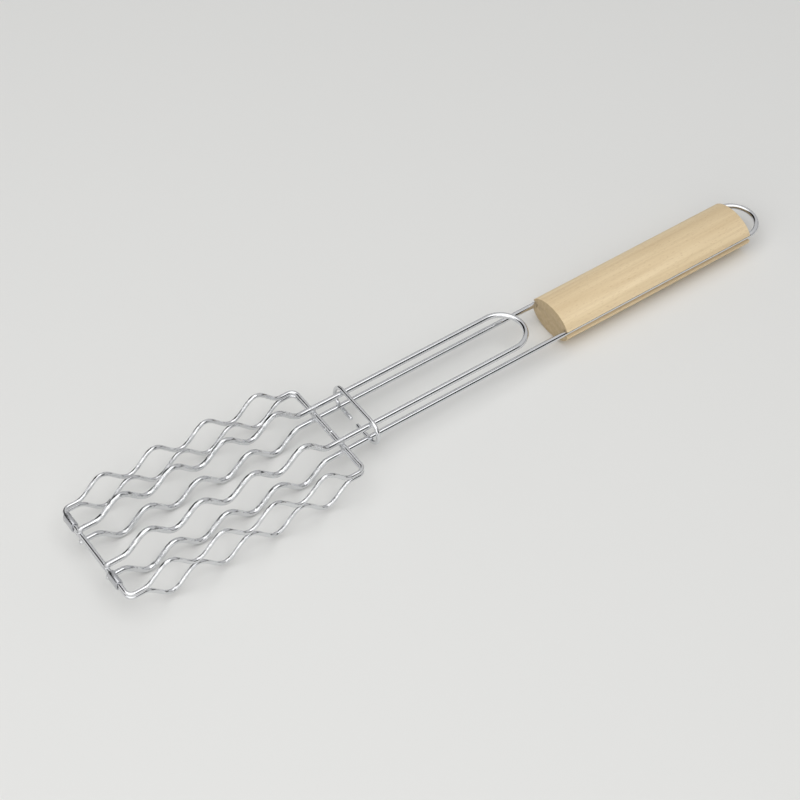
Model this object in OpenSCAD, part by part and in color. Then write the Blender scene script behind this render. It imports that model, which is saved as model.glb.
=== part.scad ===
// Sausage grilling basket: two wavy wire grilles hinged at one end, closed on four
// sausages and locked by a ring that slides along the long handle.
// +X runs from the hinge to the handle, +Z is up, and the origin is at the middle of the
// basket's box, on the surface that it lies on.

/* [Frames] */
// Length of a frame, between the centre lines of its end bars
frame_len = 180; // [150:1:220]
// Width of a frame, between the centre lines of its side wires
frame_w = 85.4; // [76:0.2:110]
// Thickness of the frame wire
frame_wire_d = 3; // [2.5:0.1:3.6]
// Radius of the corner bends, on the centre line
corner_r = 5; // [4:0.5:7]
// Gap between the two frames when the basket is closed
frame_gap = 0.3; // [0.2:0.05:0.8]

/* [Waves] */
// Number of waves, one for each sausage
wave_count = 4; // [3:1:5]
// Straight wire between an end bar and the first wave
wave_lead = 10.6; // [8:0.2:14]
// Height of a frame's wave, from its trough to its crest
frame_wave_h = 13.8; // [8:0.2:18]
// Height of a handle wire's wave
handle_wave_h = 13; // [8:0.2:18]
// Radius of the bends in a wave, on the centre line
wave_r = 6.4; // [5:0.2:8]

/* [Handle wires] */
// Thickness of the handle wires
handle_wire_d = 4; // [3.2:0.1:4.8]
// Distance between the two legs of a handle wire, on the centre lines
leg_spread = 34.6; // [28:0.2:42]
// How far a handle wire is melted into the end bars that it is welded to
weld_sink = 0.4; // [0.2:0.1:0.8]
// How far the upper handle wire is welded off the middle, towards the far side
upper_shift = 2; // [0:0.2:2.4]
// How far the upper handle wire's waves lie past the frame's, towards its loop
upper_wave_shift = 0.6; // [-2:0.2:2]
// How far the lower handle wire's waves lie past the frame's, towards its loop
lower_wave_shift = -1.8; // [-2:0.2:2]
// Straight leg of the upper handle wire past the end bar, up to its loop
upper_leg = 146; // [100:1:200]
// How far the lower handle wire's ends stick out past the hinge bar's centre line
lower_stub = 2.6; // [2:0.1:4]
// How far the upper handle wire's ends reach past the hinge bar's centre line
upper_stub = 1.2; // [0.4:0.1:1.4]

/* [Hinge clips] */
// Thickness of the sheet that a hinge clip is bent from
clip_sheet = 1; // [0.6:0.1:1.2]
// Length of a hinge clip along the hinge bars
clip_len = 11; // [8:0.5:12]
// Running gap between a hinge clip and the bars inside it
clip_play = 0.08; // [0.04:0.01:0.1]
// Width of the seam where the two edges of the sheet meet
clip_seam = 0.6; // [0.3:0.1:1]
// Gap between the far clip and the corner bend beside it
far_clip_gap = 0.6; // [0.4:0.1:2]
// Gap between the near clip and the handle wire beside it
near_clip_gap = 0.5; // [0.3:0.1:2]

/* [Lock ring] */
// Thickness of the lock ring's wire
ring_wire_d = 3; // [2.4:0.1:3.4]
// Running gap between the lock ring and the legs above and below
ring_play = 0.35; // [0.3:0.05:0.8]
// Distance from the end bars to the lock ring
ring_place = 23.2; // [8:0.2:120]
// Lean of the lock ring out of the square, in degrees
ring_lean = 4.5; // [0:0.5:6]
// Width of the gap in the lock ring's underside
ring_gap = 5.2; // [3:0.2:12]
// How far that gap lies off the middle, towards the far leg
ring_gap_shift = 1.8; // [0:0.2:4]

/* [Wooden handle] */
// Length of the wooden handle
wood_len = 170; // [120:1:200]
// Full height of its oval section
wood_h = 26.2; // [20:0.2:32]
// How far the sides of the oval reach past the wires in its grooves
wood_side = 1.2; // [0.2:0.1:2]
// How far the middle of the oval lies below the wires in its grooves
wood_drop = 1.2; // [0:0.1:2.4]
// Clearance around the wires in the wooden handle's two grooves
groove_play = 0.25; // [0.1:0.05:0.5]
// Gap between the upper handle wire's loop and the wooden handle
wood_gap = 23; // [12:1:60]
// Distance from the end of the wooden handle to the bend of the hanging loop
wood_end_gap = 0.4; // [0.4:0.2:10]

/* [Hidden] */
$fn = 64;
CHROME = [0.78, 0.78, 0.79];
STEEL = [0.7, 0.7, 0.71];
BEECH = [0.85, 0.76, 0.6];
// How much thicker a bend is than the straight wire, on each side, and how far it laps over it
BEND_SWELL = 0.02;
BEND_LAP = 0.1;
// How far a cutter runs past what it cuts
PAST = 1;

// Height of the upper end bars' centre lines above the plane between the two frames
bar_z = (frame_gap + frame_wire_d) / 2;
// Height of the upper handle wire's centre line, which lies on the end bars
leg_z = bar_z + (frame_wire_d + handle_wire_d) / 2 - weld_sink;
leg_y = leg_spread / 2;
upper_loop_x = frame_len + upper_leg;
wood_x = upper_loop_x + leg_y + handle_wire_d / 2 + wood_gap;
lower_loop_x = wood_x + wood_len + wood_end_gap;

// A wave is a trough's bend, a straight flank and a crest's bend, and the same back down
pitch = (frame_len - 2 * wave_lead) / wave_count;
function bend_reach(wave_h) = sqrt(pow(pitch / 2, 2) + pow(wave_h - 2 * wave_r, 2));
function flank_run(wave_h) = sqrt(pow(bend_reach(wave_h), 2) - pow(2 * wave_r, 2));
function flank_turn(wave_h) =
    atan2(wave_h - 2 * wave_r, pitch / 2) + asin(2 * wave_r / bend_reach(wave_h));

clip_in_r = frame_wire_d / 2 + clip_play;
clip_out_r = clip_in_r + clip_sheet;
far_clip_y = frame_w / 2 - corner_r - far_clip_gap - clip_len / 2;
near_clip_y = -(leg_y + handle_wire_d / 2 + near_clip_gap + clip_len / 2);

ring_half_h = leg_z + (handle_wire_d + ring_wire_d) / 2 + ring_play;
ring_x = frame_len + ring_place;
// The lock ring settles halfway between the upper handle wire and the lower one
ring_y = upper_shift / 2;

wood_w = leg_spread + handle_wire_d + 2 * wood_side;
groove_h = handle_wire_d + 2 * groove_play;

// The whole basket's reach along X and its lowest point, which place it on the origin
low_x = -max(clip_out_r, lower_stub);
high_x = lower_loop_x + leg_y + handle_wire_d / 2 + BEND_SWELL;
waves_low = leg_z + handle_wave_h + handle_wire_d / 2 + BEND_SWELL;
wood_low = leg_z + wood_drop + wood_h / 2;
low_z = -max(waves_low, wood_low);

// Puts a sub-part drawn from the hinge and the plane between the frames into the object's place
module placed() {
    translate([-(low_x + high_x) / 2, 0, -low_z]) children();
}

// Puts a drawing of the plane with X along and Y up on edge, so that its Y becomes Z
module on_edge() {
    rotate([90, 0, 0]) children();
}

// A straight piece of wire along +X
module straight(wire_d, run) {
    rotate([0, 90, 0]) cylinder(d = wire_d, h = run);
}

// The domed end of a wire, which points along +X
module wire_end(wire_d) {
    rotate([0, 90, 0]) rotate_extrude() intersection() {
        circle(d = wire_d);
        square(wire_d);
    }
}

// A level bend round the origin, between two directions. It is a hair thicker than the
// straight wire and laps over its ends, so that the two always join.
module bend(wire_d, bend_r, from, to) {
    lap = BEND_LAP / bend_r * 180 / PI;
    rotate(from - lap) rotate_extrude(angle = to - from + 2 * lap)
        translate([bend_r, 0]) circle(d = wire_d + 2 * BEND_SWELL);
}

// All the waves of one wire between the two end bars, with their troughs at Z = 0
module waves(wire_d, wave_h) {
    flank_len = flank_run(wave_h);
    flank_angle = flank_turn(wave_h);
    module flank() {
        translate([wave_r * sin(flank_angle), 0, wave_r * (1 - cos(flank_angle))])
            rotate([0, -flank_angle, 0]) straight(wire_d, flank_len);
    }
    module trough(left, right) {
        translate([0, 0, wave_r]) on_edge() bend(wire_d, wave_r, -90 - left, -90 + right);
    }
    module crest() {
        translate([0, 0, wave_h - wave_r]) on_edge()
            bend(wire_d, wave_r, 90 - flank_angle, 90 + flank_angle);
    }
    for (i = [0 : wave_count - 1]) translate([wave_lead + i * pitch, 0, 0]) {
        trough(i == 0 ? 0 : flank_angle, flank_angle);
        flank();
        translate([pitch / 2, 0, 0]) crest();
        translate([pitch, 0, 0]) mirror([1, 0, 0]) flank();
    }
    translate([frame_len - wave_lead, 0, 0]) trough(flank_angle, 0);
}

// A bar across the basket, centred on the origin
module cross_bar(wire_d, run) {
    rotate([90, 0, 0]) cylinder(d = wire_d, h = run, center = true);
}

// One closed frame of bent and butt-welded wire, with its waves upwards
module frame() {
    side_run = wave_lead - corner_r;
    translate([0, 0, bar_z]) {
        for (x = [0, frame_len]) translate([x, 0, 0]) cross_bar(frame_wire_d, frame_w - 2 * corner_r);
        for (side = [0, 1]) mirror([0, side, 0]) {
            translate([0, frame_w / 2, 0]) {
                waves(frame_wire_d, frame_wave_h);
                translate([corner_r, 0, 0]) straight(frame_wire_d, side_run);
                translate([frame_len - wave_lead, 0, 0]) straight(frame_wire_d, side_run);
            }
            translate([corner_r, frame_w / 2 - corner_r, 0]) bend(frame_wire_d, corner_r, 90, 180);
            translate([frame_len - corner_r, frame_w / 2 - corner_r, 0])
                bend(frame_wire_d, corner_r, 0, 90);
        }
    }
}

// One handle wire with its waves upwards: two wavy stretches welded across the end bars,
// two legs and the loop that joins them
module handle_wire(stub, wave_shift, loop_x) {
    leg_start = frame_len - wave_lead + wave_shift;
    difference() {
        translate([0, 0, leg_z]) {
            for (side = [-1, 1]) translate([0, side * leg_y, 0]) {
                translate([wave_shift, 0, 0]) waves(handle_wire_d, handle_wave_h);
                translate([handle_wire_d / 2 - stub, 0, 0]) {
                    rotate(180) wire_end(handle_wire_d);
                    straight(handle_wire_d, wave_lead + wave_shift + stub - handle_wire_d / 2);
                }
                translate([leg_start, 0, 0]) straight(handle_wire_d, loop_x - leg_start);
            }
            translate([loop_x, 0, 0]) bend(handle_wire_d, leg_y, -90, 90);
        }
        for (x = [0, frame_len]) translate([x, 0, bar_z])
            cross_bar(frame_wire_d, leg_spread + 2 * handle_wire_d);
    }
}

// A hinge clip, bent round both hinge bars, with its seam towards the sausages
module hinge_clip(y) {
    module band_outline(r) {
        for (z = [-bar_z, bar_z]) translate([0, z]) circle(r);
        square([2 * r, 2 * bar_z], center = true);
    }
    translate([0, y, 0]) on_edge() linear_extrude(clip_len, center = true) difference() {
        band_outline(clip_out_r);
        band_outline(clip_in_r);
        translate([0, -clip_seam / 2]) square([clip_out_r + PAST, clip_seam]);
    }
}

// The upper frame
module upper_frame() {
    color(CHROME) placed() frame();
}

// The lower frame, which is the same frame turned over
module lower_frame() {
    color(CHROME) placed() mirror([0, 0, 1]) frame();
}

// The upper handle wire, whose loop ends short of the wooden handle
module upper_handle_wire() {
    color(CHROME) placed() translate([0, upper_shift, 0])
        handle_wire(upper_stub, upper_wave_shift, upper_loop_x);
}

// The lower handle wire, which carries the wooden handle and ends in the hanging loop
module lower_handle_wire() {
    color(CHROME) placed() mirror([0, 0, 1])
        handle_wire(lower_stub, lower_wave_shift, lower_loop_x);
}

// The hinge clip beside the frame's far corner
module hinge_clip_far() {
    color(STEEL) placed() hinge_clip(far_clip_y);
}

// The hinge clip beside the near handle wire
module hinge_clip_near() {
    color(STEEL) placed() hinge_clip(near_clip_y);
}

// The lock ring: a wire bent to an oval round all four legs, with a gap in its underside
module lock_ring() {
    module lower_run(gap_edge) {
        run = leg_y - gap_edge - ring_wire_d / 2;
        translate([0, leg_y, -ring_half_h]) rotate(-90) {
            straight(ring_wire_d, run);
            translate([run, 0, 0]) wire_end(ring_wire_d);
        }
    }
    color(CHROME) placed() translate([ring_x, ring_y, 0]) rotate([0, ring_lean, 0]) {
        translate([0, 0, ring_half_h]) cross_bar(ring_wire_d, leg_spread);
        for (side = [0, 1]) mirror([0, side, 0]) translate([0, leg_y, 0])
            rotate(90) on_edge() bend(ring_wire_d, ring_half_h, -90, 90);
        lower_run(ring_gap_shift + ring_gap / 2);
        mirror([0, 1, 0]) lower_run(ring_gap / 2 - ring_gap_shift);
    }
}

// The wooden handle: an oval bar with a groove along each side for the lower handle wire
module wooden_handle() {
    color(BEECH) placed() translate([wood_x, 0, -leg_z]) difference() {
        translate([0, 0, -wood_drop]) rotate([90, 0, 90]) linear_extrude(wood_len)
            scale([wood_w, wood_h]) circle(d = 1);
        for (side = [0, 1]) mirror([0, side, 0]) translate([-PAST, leg_y, 0]) {
            straight(groove_h, wood_len + 2 * PAST);
            translate([0, 0, -groove_h / 2]) cube([wood_len + 2 * PAST, wood_w, groove_h]);
        }
    }
}

upper_frame();
lower_frame();
upper_handle_wire();
lower_handle_wire();
hinge_clip_far();
hinge_clip_near();
lock_ring();
wooden_handle();
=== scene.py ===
import math

import bpy
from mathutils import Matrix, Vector


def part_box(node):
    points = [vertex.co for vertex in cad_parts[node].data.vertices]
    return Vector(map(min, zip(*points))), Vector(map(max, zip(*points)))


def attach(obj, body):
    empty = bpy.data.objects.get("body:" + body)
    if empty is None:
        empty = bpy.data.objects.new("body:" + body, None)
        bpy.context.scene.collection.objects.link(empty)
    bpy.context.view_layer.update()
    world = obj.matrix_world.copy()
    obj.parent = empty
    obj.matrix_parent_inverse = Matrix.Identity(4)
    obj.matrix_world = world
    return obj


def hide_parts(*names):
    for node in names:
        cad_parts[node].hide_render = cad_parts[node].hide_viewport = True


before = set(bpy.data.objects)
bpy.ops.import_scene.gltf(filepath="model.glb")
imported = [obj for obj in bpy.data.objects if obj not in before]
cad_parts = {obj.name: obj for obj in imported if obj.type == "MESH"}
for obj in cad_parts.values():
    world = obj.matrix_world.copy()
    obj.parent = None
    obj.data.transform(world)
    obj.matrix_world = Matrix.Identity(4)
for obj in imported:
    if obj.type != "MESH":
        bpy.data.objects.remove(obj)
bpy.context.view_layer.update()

MM = 0.001


# Camera
# It looks down on the basket from the left of its hinge end, at the photograph's angle,
# from a metre and a half away with a long lens.
VIEW_AZIMUTH = math.radians(-35.245)
VIEW_ELEVATION = math.radians(48.463)
VIEW_DISTANCE = 1.4505
VIEW_AIM = Vector((-0.0428, -0.005, 0.0198))
LENS = 96


def seen_from(azimuth, elevation):
    """The unit vector towards a viewer: azimuth 0 looks along +Y, and 90 along -X."""
    level = math.cos(elevation)
    return Vector((math.sin(azimuth) * level, -math.cos(azimuth) * level, math.sin(elevation)))


camera = bpy.data.objects.new("camera", bpy.data.cameras.new("camera"))
camera.data.lens = LENS
camera.data.clip_start = 0.01
camera.data.clip_end = 50
towards_camera = seen_from(VIEW_AZIMUTH, VIEW_ELEVATION)
camera.location = VIEW_AIM + towards_camera * VIEW_DISTANCE
camera.rotation_euler = (-towards_camera).to_track_quat("-Z", "Y").to_euler()
bpy.context.collection.objects.link(camera)
bpy.context.scene.camera = camera


# Upper and lower frames
# Each is one 3 mm mild steel wire, drawn, bent into four waves along both sides, closed by a
# butt weld in the end bar that the handle starts from, then nickel and chrome plated.
FRAME_WIRE_R = 1.5 * MM
FRAME_LENGTH = 180 * MM
FRAME_WIDTH = 85.4 * MM
CORNER_R = 5 * MM
WAVES = 4
WAVE_LEAD = 10.6 * MM
FRAME_WAVE_HEIGHT = 13.8 * MM
WAVE_STEPS = 28
WIRE_SIDES = 24
BEND_STEP = math.radians(6)
STRAIGHT_STEP = 3 * MM
BUTT_WELD_Y = -3.2 * MM
BUTT_WELD_RISE = 0.22 * MM
BUTT_WELD_REACH = 0.45 * MM
BENT_HEIGHT = 2 * MM
HANDLE_WIRE_R = 2 * MM
HAZE = 0.8
HAZE_REACH = 3 * MM
frame_low, frame_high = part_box("upper_frame")
upper_low, upper_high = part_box("upper_handle_wire")
lower_low, lower_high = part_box("lower_handle_wire")
hinge_x = frame_low[0] + FRAME_WIRE_R
front_x = hinge_x + FRAME_LENGTH
upper_bar_z = frame_low[2] + FRAME_WIRE_R
lower_bar_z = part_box("lower_frame")[1][2] - FRAME_WIRE_R
leg_y = (lower_high[1] - lower_low[1]) / 2 - HANDLE_WIRE_R
upper_middle_y = (upper_low[1] + upper_high[1]) / 2
lower_middle_y = (lower_low[1] + lower_high[1]) / 2


def arc(centre, radius, start, end):
    """Points on an arc in a plane, from one direction to another, in small even steps."""
    count = max(2, math.ceil(abs(end - start) / BEND_STEP))
    angles = [start + (end - start) * i / count for i in range(count + 1)]
    return [(centre[0] + radius * math.cos(a), centre[1] + radius * math.sin(a)) for a in angles]


def wave_line(height, shift=0):
    """The centre line of one wavy stretch as (x from the hinge bar, height over the troughs)."""
    run = FRAME_LENGTH - 2 * WAVE_LEAD
    line = []
    for i in range(WAVES * WAVE_STEPS + 1):
        turn = 2 * math.pi * i / WAVE_STEPS
        x = WAVE_LEAD + shift + run * i / (WAVES * WAVE_STEPS)
        line.append((x, height / 2 * (1 - math.cos(turn))))
    return line


def spaced(line, closed=False):
    """The same line with points added, so that no stretch of it is longer than a step."""
    points = []
    ends = line[1:] + line[:1] if closed else line[1:]
    for a, b in zip(line, ends):
        count = max(1, math.ceil((b - a).length / STRAIGHT_STEP))
        points += [a.lerp(b, i / count) for i in range(count)]
    return points if closed else points + [line[-1]]


def round_section(radius):
    """A circle of points, as the section of a wire."""
    turns = [2 * math.pi * i / WIRE_SIDES for i in range(WIRE_SIDES)]
    return [(radius * math.cos(a), radius * math.sin(a)) for a in turns]


def sweep(name, line, sections, up, closed=False, welded=None, bent=None):
    """A solid swept along a line of points, as mesh data. Each point has a section, a list of
    (across, up) points. Each vertex keeps its place in the straight stock, as the attribute
    "stock", how much of it is weld, as "weld", and how hard it was bent, as "bent"."""
    count = len(line)
    steps = [(line[(i + 1) % count] - line[i]) for i in range(count)]
    tangents = []
    for i in range(count):
        before = steps[i - 1] if closed or i else steps[0]
        after = steps[i] if closed or i < count - 1 else steps[i - 1]
        tangents.append((before.normalized() + after.normalized()).normalized())
    ups = [(up - tangents[0] * up.dot(tangents[0])).normalized()]
    for i in range(1, count):
        turned = tangents[i - 1].rotation_difference(tangents[i]) @ ups[-1]
        ups.append((turned - tangents[i] * turned.dot(tangents[i])).normalized())
    sides = len(sections[0])
    vertices = []
    stock = []
    weld = []
    bend = []
    run = 0
    for i in range(count):
        across = ups[i].cross(tangents[i])
        for s, t in sections[i]:
            vertices.append(line[i] + across * s + ups[i] * t)
            stock += [run, s, t]
        weld += [welded[i] if welded else 0] * sides
        bend += [bent[i] if bent else 0] * sides
        run += steps[i].length
    faces = []
    for i in range(count if closed else count - 1):
        here = i * sides
        there = (i + 1) % count * sides
        for j in range(sides):
            k = (j + 1) % sides
            faces.append((here + j, here + k, there + k, there + j))
    if not closed:
        faces.append(tuple(reversed(range(sides))))
        faces.append(tuple(range((count - 1) * sides, count * sides)))
    made = {"name": name, "vertices": vertices, "faces": faces}
    made.update({"stock": stock, "weld": weld, "bent": bend})
    return made


def piece(parts, material, body, node, sharp=math.radians(40)):
    """Makes one object of swept parts, which rides on a body and stands for a CAD node."""
    name = parts[0]["name"]
    vertices = []
    faces = []
    stock = []
    weld = []
    bent = []
    for part in parts:
        start = len(vertices)
        vertices += part["vertices"]
        faces += [tuple(start + v for v in face) for face in part["faces"]]
        stock += part["stock"]
        weld += part["weld"]
        bent += part["bent"]
    mesh = bpy.data.meshes.new(name)
    mesh.from_pydata(vertices, [], faces)
    mesh.attributes.new("stock", "FLOAT_VECTOR", "POINT").data.foreach_set("vector", stock)
    mesh.attributes.new("weld", "FLOAT", "POINT").data.foreach_set("value", weld)
    mesh.attributes.new("bent", "FLOAT", "POINT").data.foreach_set("value", bent)
    mesh.polygons.foreach_set("use_smooth", [True] * len(faces))
    mesh.set_sharp_from_angle(angle=sharp)
    mesh.materials.append(material)
    made = bpy.data.objects.new(name, mesh)
    bpy.context.collection.objects.link(made)
    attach(made, body)
    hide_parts(node)
    return made


def colour(hex_value):
    """An sRGB hex value as the linear colour that a shader takes."""
    channels = [int(hex_value[i:i + 2], 16) / 255 for i in (1, 3, 5)]
    return [c / 12.92 if c <= 0.04045 else ((c + 0.055) / 1.055) ** 2.4 for c in channels] + [1]


def add(tree, kind, inputs, **settings):
    """Adds a node with its settings. An input is a value, or another node's output to link."""
    node = tree.nodes.new(kind)
    for name, value in settings.items():
        setattr(node, name, value)
    for name, value in inputs.items():
        if isinstance(value, bpy.types.NodeSocket):
            tree.links.new(value, node.inputs[name])
        else:
            node.inputs[name].default_value = value
    return node


def remapped(tree, value, reach, result):
    """A value taken from one range to another, and held at the ends."""
    inputs = {"Value": value, "From Min": reach[0], "From Max": reach[1]}
    inputs.update({"To Min": result[0], "To Max": result[1]})
    return add(tree, "ShaderNodeMapRange", inputs).outputs["Result"]


def blended(tree, share, first, second):
    """A mix of two colours."""
    node = add(tree, "ShaderNodeMix", {0: share, 6: first, 7: second}, data_type="RGBA")
    return node.outputs[2]


def new_material(name):
    """An empty node material, and its tree, its main shader and its texture place in the stock."""
    material = bpy.data.materials.new(name)
    material.use_nodes = True
    tree = material.node_tree
    stock = add(tree, "ShaderNodeAttribute", {}, attribute_name="stock").outputs["Vector"]
    return material, tree, tree.nodes["Principled BSDF"], stock


def grain(tree, stock, along, across, detail):
    """Noise whose marks are so many metres long along the stock and across it."""
    scale = (1 / along, 1 / across, 1 / across)
    place = add(tree, "ShaderNodeVectorMath", {0: stock, 1: scale}, operation="MULTIPLY").outputs["Vector"]
    return add(tree, "ShaderNodeTexNoise", {"Vector": place, "Scale": 1, "Detail": detail}).outputs["Fac"]


def bumped(tree, height, strength, distance, under=None):
    """A bump from a height, laid over another bump."""
    node = add(tree, "ShaderNodeBump", {"Height": height, "Strength": strength, "Distance": distance})
    if under:
        tree.links.new(under, node.inputs["Normal"])
    return node.outputs["Normal"]


# Chrome plate over drawn wire is bright and almost a mirror. The die leaves faint lines along
# it, and the bending of the waves leaves slight dents, which break its reflections into
# streaks. Over a weld it is lumpy and dull.
def chrome_plated_wire():
    material, tree, shader, stock = new_material("chrome_plated_wire")
    weld = add(tree, "ShaderNodeAttribute", {}, attribute_name="weld").outputs["Fac"]
    bent = add(tree, "ShaderNodeAttribute", {}, attribute_name="bent").outputs["Fac"]
    lines = grain(tree, stock, 30 * MM, 0.5 * MM, 2)
    dents = grain(tree, stock, 5 * MM, 1.1 * MM, 2)
    lumps = grain(tree, stock, 0.6 * MM, 0.6 * MM, 2)
    line_bump = bumped(tree, lines, 0.2, 0.05 * MM)
    dent_bump = bumped(tree, dents, bent, 0.45 * MM, line_bump)
    lump_bump = bumped(tree, lumps, weld, 0.25 * MM, dent_bump)
    plate_roughness = remapped(tree, dents, (0.3, 0.7), (0.05, 0.12))
    roughness = add(tree, "ShaderNodeMath", {0: weld, 1: 0.35, 2: plate_roughness}, operation="MULTIPLY_ADD")
    shader.inputs["Base Color"].default_value = colour("#E0E1E3")
    shader.inputs["Metallic"].default_value = 1
    tree.links.new(roughness.outputs["Value"], shader.inputs["Roughness"])
    tree.links.new(lump_bump, shader.inputs["Normal"])
    return material


def weld_haze(point, middle_y):
    """How much of the dull halo round the nearest of the four crossings reaches a point."""
    crossings = [(x, middle_y + y) for x in (hinge_x, front_x) for y in (-leg_y, leg_y)]
    nearest = min(math.hypot(point.x - x, point.y - y) for x, y in crossings)
    return HAZE * math.exp(-(nearest / HAZE_REACH) ** 2)


def frame_wire(name, bar_z, way_up, weld_y, middle_y):
    """One closed frame: far side, front bar with its butt weld, near side, hinge bar."""
    side_y = FRAME_WIDTH / 2
    side = wave_line(FRAME_WAVE_HEIGHT)
    corner = side_y - CORNER_R
    far_front = arc((FRAME_LENGTH - CORNER_R, corner), CORNER_R, math.pi / 2, 0)
    near_front = arc((FRAME_LENGTH - CORNER_R, -corner), CORNER_R, 0, -math.pi / 2)
    near_hinge = arc((CORNER_R, -corner), CORNER_R, -math.pi / 2, -math.pi)
    far_hinge = arc((CORNER_R, corner), CORNER_R, math.pi, math.pi / 2)
    weld_steps = [weld_y + BUTT_WELD_REACH * s / 2 for s in range(6, -7, -1)]
    flat = [(x, side_y, z) for x, z in side]
    flat += [(x, y, 0) for x, y in far_front]
    flat += [(FRAME_LENGTH, y, 0) for y in weld_steps]
    flat += [(x, y, 0) for x, y in near_front]
    flat += [(x, -side_y, z) for x, z in reversed(side)]
    flat += [(x, y, 0) for x, y in near_hinge + far_hinge]
    line = spaced([Vector((hinge_x + x, y, bar_z + way_up * z)) for x, y, z in flat], closed=True)
    sections = []
    welded = []
    for point in line:
        away = (point - Vector((front_x, weld_y, bar_z))).length / BUTT_WELD_REACH
        butt_weld = math.exp(-away * away)
        welded.append(max(butt_weld, weld_haze(point, middle_y)))
        sections.append(round_section(FRAME_WIRE_R + BUTT_WELD_RISE * butt_weld))
    bent = [min(1, abs(point.z - bar_z) / BENT_HEIGHT) for point in line]
    return sweep(name, line, sections, Vector((0, 1, 0)), True, welded, bent)


chrome = chrome_plated_wire()
upper_ring = frame_wire("upper_frame_wire", upper_bar_z, 1, BUTT_WELD_Y, upper_middle_y)
lower_ring = frame_wire("lower_frame_wire", lower_bar_z, -1, -BUTT_WELD_Y, lower_middle_y)
upper_frame = piece([upper_ring], chrome, "upper_grille", "upper_frame")
lower_frame = piece([lower_ring], chrome, "lower_grille", "lower_frame")


# Upper and lower handle wires
# Each is one 4 mm wire, bent to a long U with its two arms in waves, and resistance welded
# across both end bars of its frame, which leaves a low bead squeezed out round each crossing.
HANDLE_WAVE_HEIGHT = 13 * MM
UPPER_WAVE_SHIFT = 0.6 * MM
LOWER_WAVE_SHIFT = -1.8 * MM
WELD_SINK = 0.4 * MM
BEAD_R = 1.8 * MM
BEAD_HALF_HEIGHT = 0.6 * MM
BEAD_STEPS = 8
BEAD_TIP = 0.02
BEAD_LOBES = ((3, 0.04), (5, 0.03))
BEAD_TURN = 900
DOME_STEPS = 5
LOWER_STUB = 2.6 * MM
UPPER_STUB = 1.2 * MM
leg_rise = FRAME_WIRE_R + HANDLE_WIRE_R - WELD_SINK


def domed(line, radius):
    """The line with steps added for a dome at each end, and the round sections along it."""
    turns = [math.pi / 2 * i / DOME_STEPS for i in range(1, DOME_STEPS)]
    outwards = (line[0] - line[1]).normalized()
    start = [line[0] + outwards * radius * math.sin(a) for a in reversed(turns)]
    outwards = (line[-1] - line[-2]).normalized()
    end = [line[-1] + outwards * radius * math.sin(a) for a in turns]
    dome = [round_section(radius * math.cos(a)) for a in turns]
    return start + line + end, dome[::-1] + [round_section(radius)] * len(line) + dome


def weld_bead(x, y, z):
    """The low bead between two crossing wires, a flat ball with an uneven edge."""
    heights = [(1 - BEAD_TIP) * math.cos(math.pi * i / BEAD_STEPS) for i in range(BEAD_STEPS + 1)]
    line = [Vector((x, y, z + BEAD_HALF_HEIGHT * h)) for h in heights]
    turns = [2 * math.pi * i / WIRE_SIDES for i in range(WIRE_SIDES)]
    sections = []
    for h in heights:
        section = []
        for a in turns:
            uneven = sum(depth * math.sin(lobes * a + (x + y) * BEAD_TURN) for lobes, depth in BEAD_LOBES)
            r = BEAD_R * math.sqrt(1 - h * h) * (1 + uneven)
            section.append((r * math.cos(a), r * math.sin(a)))
        sections.append(section)
    return sweep("weld_bead", line, sections, Vector((1, 0, 0)), False, [1] * len(line))


def handle_wire(name, bar_z, way_up, stub, middle_y, wave_shift, loop_x):
    """One handle wire from its end at the hinge, round its loop and back, with its weld beads."""
    half = [(HANDLE_WIRE_R - stub, 0)] + wave_line(HANDLE_WAVE_HEIGHT, wave_shift)
    loop = arc((loop_x - hinge_x, 0), leg_y, -math.pi / 2, math.pi / 2)
    flat = [(x, -leg_y, z) for x, z in half]
    flat += [(x, y, 0) for x, y in loop]
    flat += [(x, leg_y, z) for x, z in reversed(half)]
    leg_z = bar_z + way_up * leg_rise
    line = spaced([Vector((hinge_x + x, middle_y + y, leg_z + way_up * z)) for x, y, z in flat])
    line, sections = domed(line, HANDLE_WIRE_R)
    welded = [weld_haze(point, middle_y) for point in line]
    bent = [min(1, abs(point.z - leg_z) / BENT_HEIGHT) for point in line]
    parts = [sweep(name, line, sections, Vector((0, 0, 1)), False, welded, bent)]
    bead_z = bar_z + way_up * (FRAME_WIRE_R - WELD_SINK / 2)
    for x in (hinge_x, front_x):
        parts += [weld_bead(x, middle_y + y, bead_z) for y in (-leg_y, leg_y)]
    return parts


upper_loop_x = upper_high[0] - HANDLE_WIRE_R - leg_y
lower_loop_x = lower_high[0] - HANDLE_WIRE_R - leg_y
upper_parts = handle_wire("upper_handle_wire_bent", upper_bar_z, 1, UPPER_STUB,
                          upper_middle_y, UPPER_WAVE_SHIFT, upper_loop_x)
lower_parts = handle_wire("lower_handle_wire_bent", lower_bar_z, -1, LOWER_STUB,
                          lower_middle_y, LOWER_WAVE_SHIFT, lower_loop_x)
upper_wire = piece(upper_parts, chrome, "upper_grille", "upper_handle_wire")
lower_wire = piece(lower_parts, chrome, "lower_grille", "lower_handle_wire")


# Hinge clips
# Each is a strip of 1 mm sheet steel, blanked, bent round both hinge bars until its ends
# nearly meet, and plated. The bars turn in it, so it is the hinge.
SHEET = 1 * MM
SHEET_EDGE_R = 0.25 * MM
CLIP_PLAY = 0.08 * MM
CLIP_SEAM = 0.6 * MM
EDGE_STEPS = 3
middle_z = (upper_bar_z + lower_bar_z) / 2


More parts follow.
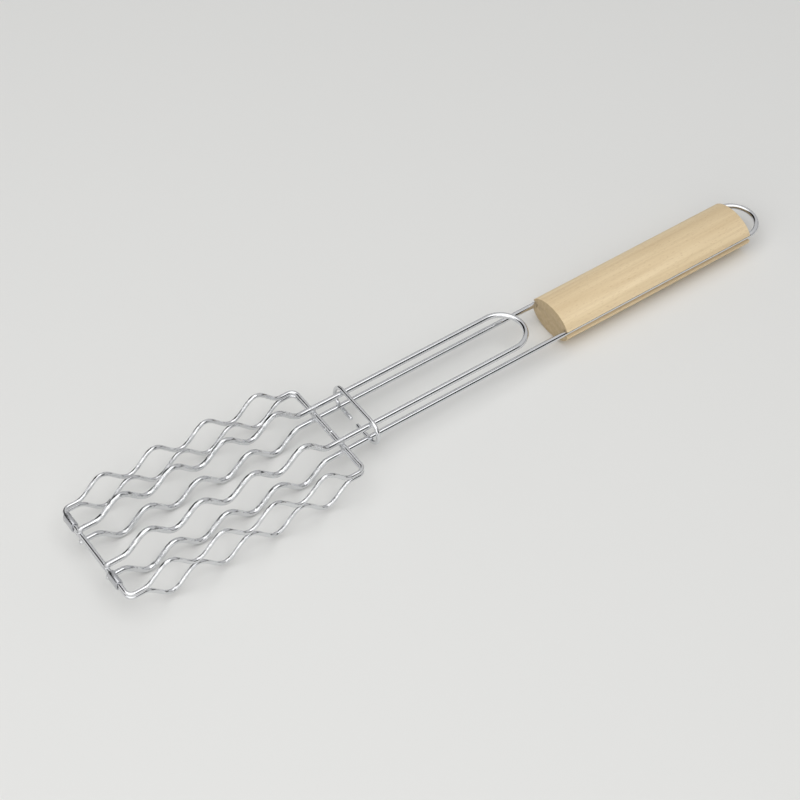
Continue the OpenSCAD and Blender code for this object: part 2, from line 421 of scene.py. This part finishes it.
# Plated sheet that has been blanked and bent stays satin. Fine rolling lines run round the band.
def plated_sheet():
    material, tree, shader, stock = new_material("plated_sheet")
    rolling = grain(tree, stock, 12 * MM, 0.4 * MM, 2)
    shader.inputs["Base Color"].default_value = colour("#C4C5C8")
    shader.inputs["Metallic"].default_value = 1
    tree.links.new(remapped(tree, rolling, (0.3, 0.7), (0.2, 0.34)), shader.inputs["Roughness"])
    tree.links.new(bumped(tree, rolling, 0.3, 0.05 * MM), shader.inputs["Normal"])
    return material


def strip_section(half_length, half_sheet, edge_r):
    """The section of a strip of sheet, with its four edges rounded."""
    section = []
    for i, (s, t) in enumerate(((1, 1), (-1, 1), (-1, -1), (1, -1))):
        corner = arc((s * (half_length - edge_r), t * (half_sheet - edge_r)), edge_r,
                     math.pi / 2 * i, math.pi / 2 * (i + 1))
        section += corner[::len(corner) // EDGE_STEPS]
    return section


def hinge_clip(name, node):
    """One clip, swept from one lip of its seam round both bars to the other."""
    low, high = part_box(node)
    y = (low[1] + high[1]) / 2
    bend_r = FRAME_WIRE_R + CLIP_PLAY + SHEET / 2
    half = (upper_bar_z - lower_bar_z) / 2
    outline = [(bend_r, CLIP_SEAM / 2)]
    outline += arc((0, half), bend_r, 0, math.pi)
    outline += arc((0, -half), bend_r, math.pi, 2 * math.pi)
    outline += [(bend_r, -CLIP_SEAM / 2)]
    line = [Vector((hinge_x + x, y, middle_z + z)) for x, z in outline]
    section = strip_section((high[1] - low[1]) / 2, SHEET / 2, SHEET_EDGE_R)
    band = sweep(name, line, [section] * len(line), Vector((1, 0, 0)))
    return piece([band], sheet_steel, "hinge_clips", node)


sheet_steel = plated_sheet()
far_clip = hinge_clip("far_clip_band", "hinge_clip_far")
near_clip = hinge_clip("near_clip_band", "hinge_clip_near")


# Lock ring
# It is a 3 mm wire bent to an oval round all four legs and plated. Its ends stay apart on its
# underside, and it leans a little on the legs that it slides along.
RING_WIRE_R = 1.5 * MM
RING_LEAN = math.radians(4.5)
RING_GAP = 5.2 * MM
RING_GAP_SHIFT = 1.8 * MM
ring_low, ring_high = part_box("lock_ring")
ring_x = (ring_low[0] + ring_high[0]) / 2
ring_y = (ring_low[1] + ring_high[1]) / 2
ring_half_height = (ring_high[1] - ring_low[1]) / 2 - leg_y - RING_WIRE_R


def lock_ring():
    """The ring's wire, from its end on the near side, round the top, to its end on the far side."""
    near_end = RING_GAP / 2 - RING_GAP_SHIFT + RING_WIRE_R
    far_end = RING_GAP / 2 + RING_GAP_SHIFT + RING_WIRE_R
    outline = [(-near_end, -ring_half_height)]
    outline += arc((-leg_y, 0), ring_half_height, -math.pi / 2, -3 * math.pi / 2)
    outline += arc((leg_y, 0), ring_half_height, math.pi / 2, -math.pi / 2)
    outline += [(far_end, -ring_half_height)]
    lean = (math.sin(RING_LEAN), math.cos(RING_LEAN))
    line = [Vector((ring_x + z * lean[0], ring_y + y, middle_z + z * lean[1])) for y, z in outline]
    line, sections = domed(spaced(line), RING_WIRE_R)
    return sweep("lock_ring_wire", line, sections, Vector((1, 0, 0)))


ring = piece([lock_ring()], chrome, "lock_ring", "lock_ring")


# Wooden handle
# It is beech, planed to an oval bar, sawn to length, grooved along both sides for the wire,
# with its edges eased, sanded and left bare.
GROOVE_R = 2.25 * MM
WOOD_EASE = 0.5 * MM
WOOD_EASE_STEPS = 4
OVAL_STEPS = 40
wood_low, wood_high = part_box("wooden_handle")
wood_half_width = (wood_high[1] - wood_low[1]) / 2
wood_half_height = (wood_high[2] - wood_low[2]) / 2
wood_z = (wood_low[2] + wood_high[2]) / 2
groove_z = lower_bar_z - leg_rise - wood_z


# Bare beech is pale and even. Its growth rings show as soft bands along it, its rays as short
# fine flecks; its sawn ends are darker, part end grain and part painted shade, with the rings as arcs.
def bare_beech():
    material, tree, shader, stock = new_material("bare_beech")
    bands = grain(tree, stock, 140 * MM, 11 * MM, 2)
    streaks = grain(tree, stock, 90 * MM, 2.4 * MM, 2)
    flecks = grain(tree, stock, 2.6 * MM, 0.5 * MM, 0)
    fibres = grain(tree, stock, 8 * MM, 0.3 * MM, 3)
    banded = blended(tree, remapped(tree, bands, (0.3, 0.7), (0, 1)), colour("#DCC49C"), colour("#EDD8B2"))
    streaked = blended(tree, remapped(tree, streaks, (0.45, 0.75), (0, 0.4)), banded, colour("#CDB288"))
    flecked = blended(tree, remapped(tree, flecks, (0.64, 0.78), (0, 0.3)), streaked, colour("#B9966A"))
    # Faces that point along the bar take the darker end tone, which is partly end grain and partly painted
    # shade.
    facing = add(tree, "ShaderNodeTexCoord", {}).outputs["Normal"]
    facing_x = add(tree, "ShaderNodeSeparateXYZ", {"Vector": facing}).outputs["X"]
    endwise = add(tree, "ShaderNodeMath", {0: facing_x}, operation="ABSOLUTE").outputs["Value"]
    across = {0: stock, 1: (0, 1, 1), 2: (0, 0.03, -0.05)}
    pith = add(tree, "ShaderNodeVectorMath", across, operation="MULTIPLY_ADD").outputs["Vector"]
    arcs = add(tree, "ShaderNodeTexWave", {"Vector": pith, "Scale": 38, "Distortion": 5, "Detail": 3},
               wave_type="RINGS", rings_direction="X").outputs["Fac"]
    mottle = grain(tree, stock, 40 * MM, 2.5 * MM, 3)
    ringed = blended(tree, arcs, colour("#C0AB88"), colour("#BAA580"))
    end_grain_and_painted_shade = blended(tree, remapped(tree, mottle, (0.35, 0.7), (0, 0.6)), ringed, colour("#A8916D"))
    tone = blended(tree, remapped(tree, endwise, (0.6, 0.95), (0, 1)), flecked, end_grain_and_painted_shade)
    shader.inputs["Roughness"].default_value = 0.55
    tree.links.new(tone, shader.inputs["Base Color"])
    tree.links.new(bumped(tree, fibres, 0.3, 0.08 * MM), shader.inputs["Normal"])
    return material


def wood_section(ease):
    """The oval with a groove along each side, as (across, up) points, with its edges eased."""
    half_width = wood_half_width - ease
    half_height = wood_half_height - ease
    groove_r = GROOVE_R + ease
    top = math.asin((groove_z + groove_r) / half_height)
    bottom = math.asin((groove_z - groove_r) / half_height)
    section = []
    for start, end in ((top, math.pi - top), (math.pi - bottom, 2 * math.pi + bottom)):
        for i in range(OVAL_STEPS + 1):
            a = start + (end - start) * i / OVAL_STEPS
            section.append((half_width * math.cos(a), half_height * math.sin(a)))
        side = math.copysign(leg_y, section[-1][0])
        inwards = arc((side, groove_z), groove_r, math.pi / 2, -math.pi / 2)
        if side > 0:
            inwards = arc((side, groove_z), groove_r, -math.pi / 2, -3 * math.pi / 2)
        section += inwards
    return section


def wooden_handle():
    """The bar, with its ends eased by a quarter round."""
    turns = [math.pi / 2 * i / WOOD_EASE_STEPS for i in range(WOOD_EASE_STEPS + 1)]
    ease = [(WOOD_EASE * (1 - math.sin(a)), WOOD_EASE * (1 - math.cos(a))) for a in turns]
    stations = [(wood_low[0] + x, inset) for x, inset in reversed(ease)]
    stations += [(wood_high[0] - x, inset) for x, inset in ease]
    line = [Vector((x, 0, wood_z)) for x, inset in stations]
    sections = [wood_section(inset) for x, inset in stations]
    return sweep("beech_handle", line, sections, Vector((0, 0, 1)))


beech = bare_beech()
wood = piece([wooden_handle()], beech, "lower_grille", "wooden_handle", sharp=math.radians(30))


# Floor and light
# A plain pale floor lies under the basket, in a white studio. Between its low walls and its
# ceiling is a dark gap, with a white screen at the left and one at the right. The gap draws
# the thin dark line that runs along every wire.
FLOOR_HALF = 6
UPWARDS = (0, 0, 1)
WALL_TILT = (0.4, 0.2, 1)
WALL_EDGE = (0.04, 0.09)
CEILING_TILT = (0.15, 0, 1)
CEILING_EDGE = (0.765, 0.805)
RIGHT_SIDE = (0.9, 0.3, 0)
RIGHT_EDGE = (0.2, 0.4)
RIGHT_FOOT = (0.11, 0.19)
LEFT_SIDE = (-0.85, -0.5, 0)
LEFT_EDGE = (0.45, 0.65)
GAP_LIGHT = 0.01
WALL_LIGHT = 0.9
SCREEN_LIGHT = 0.6
CEILING_LIGHT = 0.68
floor_mesh = bpy.data.meshes.new("floor")
floor_corners = [(x * FLOOR_HALF, y * FLOOR_HALF, 0) for x, y in ((-1, -1), (1, -1), (1, 1), (-1, 1))]
floor_mesh.from_pydata(floor_corners, [], [(0, 1, 2, 3)])
floor = bpy.data.objects.new("floor", floor_mesh)
bpy.context.collection.objects.link(floor)
paper = bpy.data.materials.new("pale_paper")
paper.use_nodes = True
paper.node_tree.nodes["Principled BSDF"].inputs["Base Color"].default_value = colour("#E6E6E4")
paper.node_tree.nodes["Principled BSDF"].inputs["Roughness"].default_value = 0.8
floor_mesh.materials.append(paper)


def soft_lamp(name, place, size, watts):
    """A rectangular lamp that faces the basket."""
    light = bpy.data.lights.new(name, "AREA")
    light.shape = "RECTANGLE"
    light.size, light.size_y = size
    light.energy = watts
    lamp = bpy.data.objects.new(name, light)
    lamp.location = place
    lamp.rotation_euler = (-Vector(place)).to_track_quat("-Z", "Y").to_euler()
    bpy.context.collection.objects.link(lamp)


soft_lamp("overhead_lamp", (-0.5, -0.35, 1.5), (2.6, 2.4), 20.5)
soft_lamp("left_lamp", (-1.6, -1.1, 0.55), (1.2, 0.5), 2)
world = bpy.data.worlds.new("studio")
world.use_nodes = True
bpy.context.scene.world = world
studio = world.node_tree
direction = add(studio, "ShaderNodeTexCoord", {}).outputs["Generated"]


def facing(tree, vector, way):
    """How far a direction points a given way."""
    return add(tree, "ShaderNodeVectorMath", {0: vector, 1: way}, operation="DOT_PRODUCT").outputs["Value"]


def chosen(tree, which, first, second):
    """The MAXIMUM or the MINIMUM of two values."""
    return add(tree, "ShaderNodeMath", {0: first, 1: second}, operation=which).outputs["Value"]


walls = remapped(studio, facing(studio, direction, WALL_TILT), WALL_EDGE, (WALL_LIGHT, GAP_LIGHT))
ceiling = remapped(studio, facing(studio, direction, CEILING_TILT), CEILING_EDGE, (GAP_LIGHT, CEILING_LIGHT))
left = remapped(studio, facing(studio, direction, LEFT_SIDE), LEFT_EDGE, (GAP_LIGHT, SCREEN_LIGHT))
right = remapped(studio, facing(studio, direction, RIGHT_SIDE), RIGHT_EDGE, (GAP_LIGHT, SCREEN_LIGHT))
foot = remapped(studio, facing(studio, direction, UPWARDS), RIGHT_FOOT, (GAP_LIGHT, SCREEN_LIGHT))
screens = chosen(studio, "MAXIMUM", left, chosen(studio, "MINIMUM", right, foot))
shade = chosen(studio, "MAXIMUM", chosen(studio, "MAXIMUM", walls, ceiling), screens)
studio.links.new(shade, studio.nodes["Background"].inputs["Color"])
bpy.context.scene.view_settings.view_transform = "Standard"
